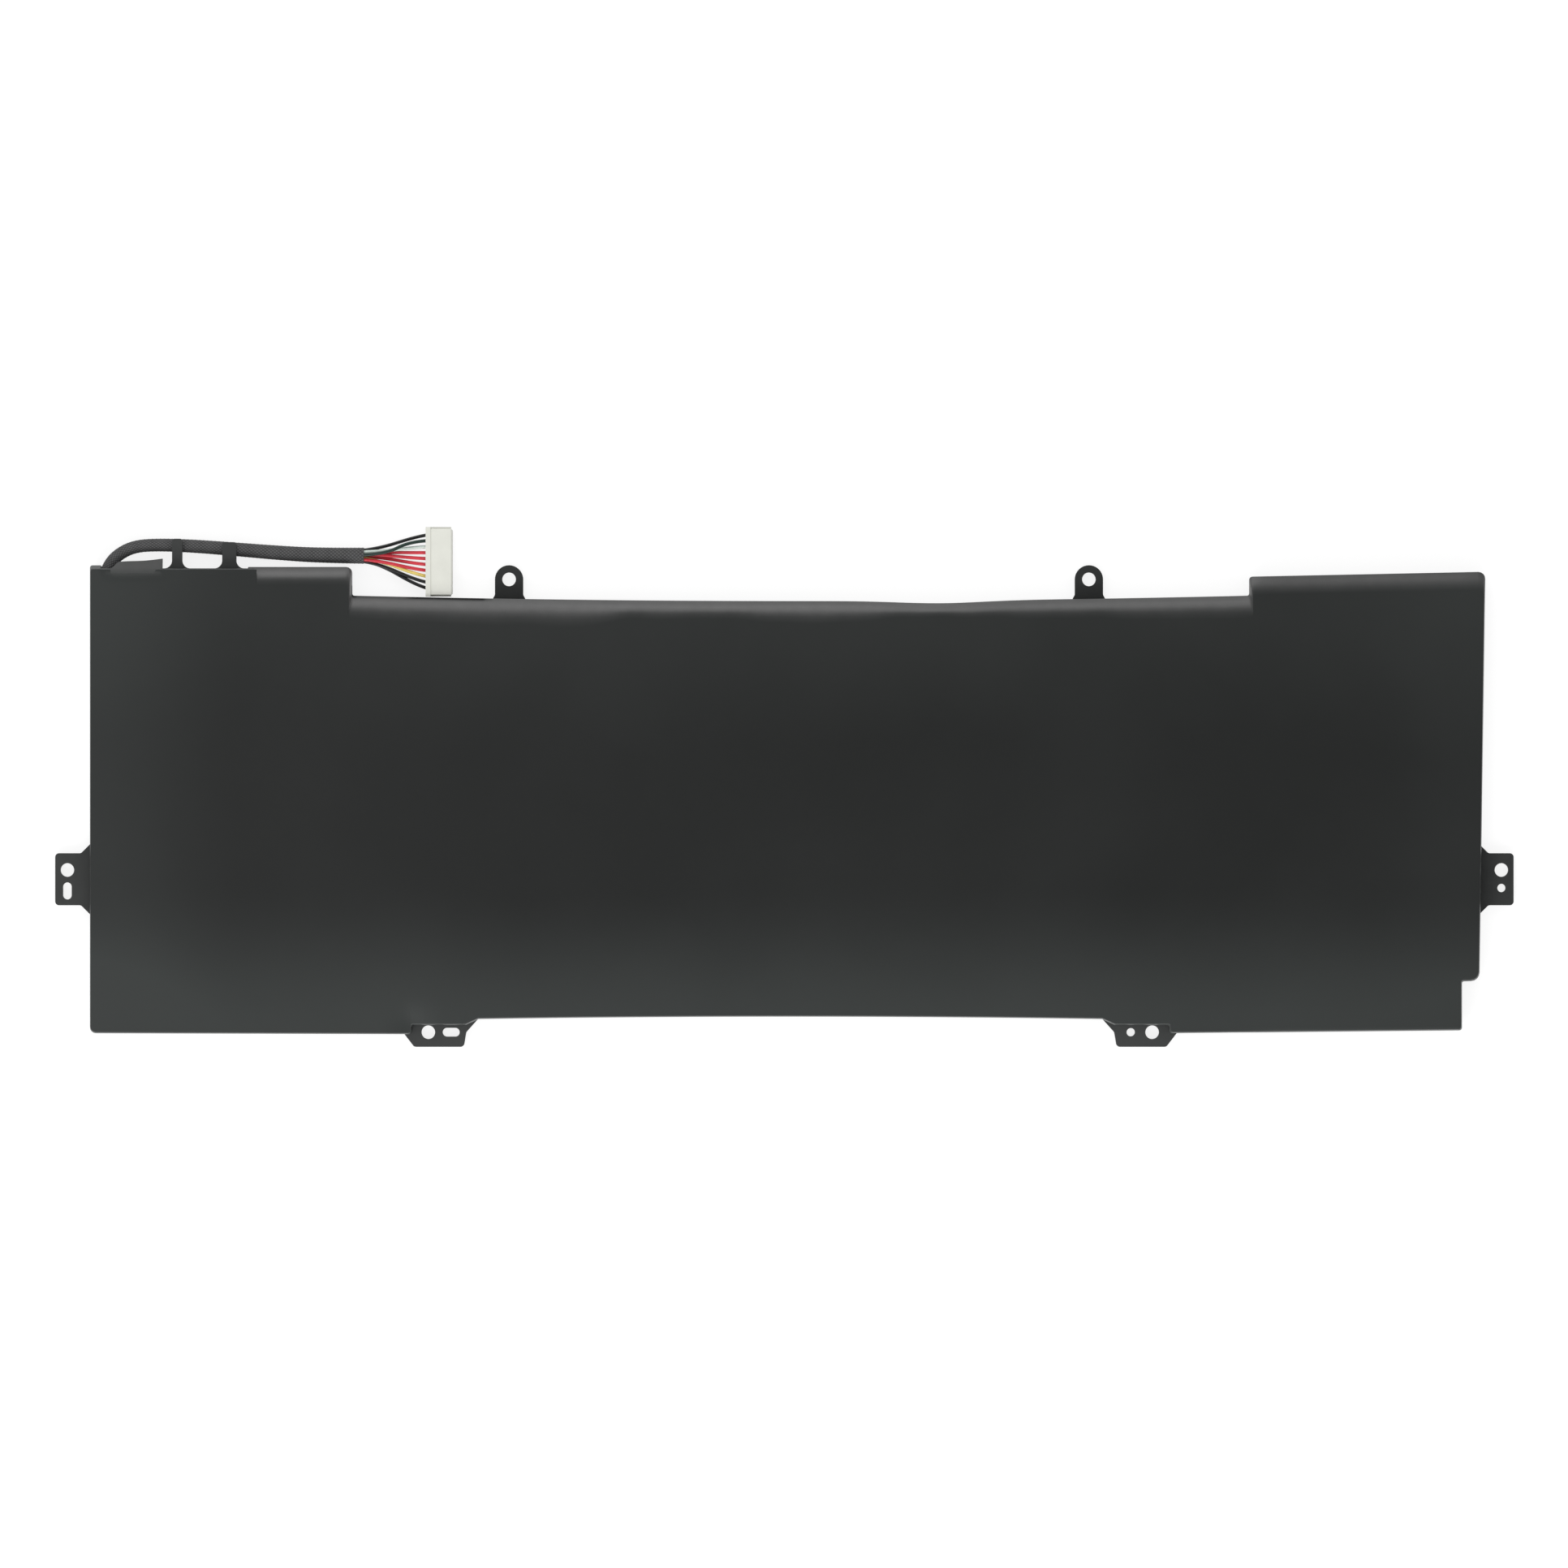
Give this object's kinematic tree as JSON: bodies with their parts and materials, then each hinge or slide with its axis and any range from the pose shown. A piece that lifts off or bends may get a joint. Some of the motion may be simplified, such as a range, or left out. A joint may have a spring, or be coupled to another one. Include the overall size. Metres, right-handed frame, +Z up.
{
  "type": "laptop battery",
  "caption": "Flat laptop battery pack: film-covered pouch cells in a moulded frame with screw lugs and lead hooks, and a sleeved lead whose wires fan out to a pale connector.",
  "frame": {"origin": "on the surface that the pack lies on, under the middle of the pack and its lugs without the lead", "axes": "+X along the pack from the lead's end to the other end, +Y to the edge that the lead leaves from, +Z up, out of the plain film face"},
  "size_m": [0.2998, 0.1068, 0.0062],
  "materials": {
    "frame_plastic": "fine moulded texture",
    "film": "matt film",
    "pouch": "satin foil laminate",
    "tab_aluminium": "satin",
    "nickel": "satin",
    "adhesive": "matt tape",
    "board": "solder mask",
    "foam": "open foam",
    "chip_plastic": "matt",
    "component": "fired",
    "paper": "smooth insulating paper",
    "sleeve": "woven sleeve",
    "wire_black": "smooth insulation",
    "wire_green": "smooth insulation",
    "wire_white": "smooth insulation",
    "wire_red": "smooth insulation",
    "wire_yellow": "smooth insulation",
    "connector_nylon": "moulded nylon",
    "tin": "tinned"
  },
  "bodies": {
    "root": {"frame": "frame_plastic", "upper_film": "film", "lower_film": "film", "positive_tabs": "tab_aluminium", "negative_tabs": "nickel", "weld_pads": "nickel", "cell_adhesive": "adhesive", "protection_board": "board", "board_foam": "foam", "gauge_chip": "chip_plastic", "discharge_switch": "chip_plastic", "charge_switch": "chip_plastic", "sense_resistor": "component", "board_fuse": "component", "thermistor": "component", "filter_capacitors": "component", "insulating_paper": "paper", "lead_tails": "wire_black", "lead_sleeve": "sleeve", "connector_housing": "connector_nylon", "crimp_contacts": "tin", "cell_1": "pouch", "cell_2": "pouch", "cell_3": "pouch", "cell_4": "pouch", "cell_5": "pouch", "cell_6": "pouch", "wire_1_black": "wire_black", "wire_2_green": "wire_green", "wire_3_white": "wire_white", "wire_4_red": "wire_red", "wire_5_red": "wire_red", "wire_6_red": "wire_red", "wire_7_red": "wire_red", "wire_8_yellow": "wire_yellow", "wire_9_black": "wire_black", "wire_10_black": "wire_black"}
  },
  "joints": []
}
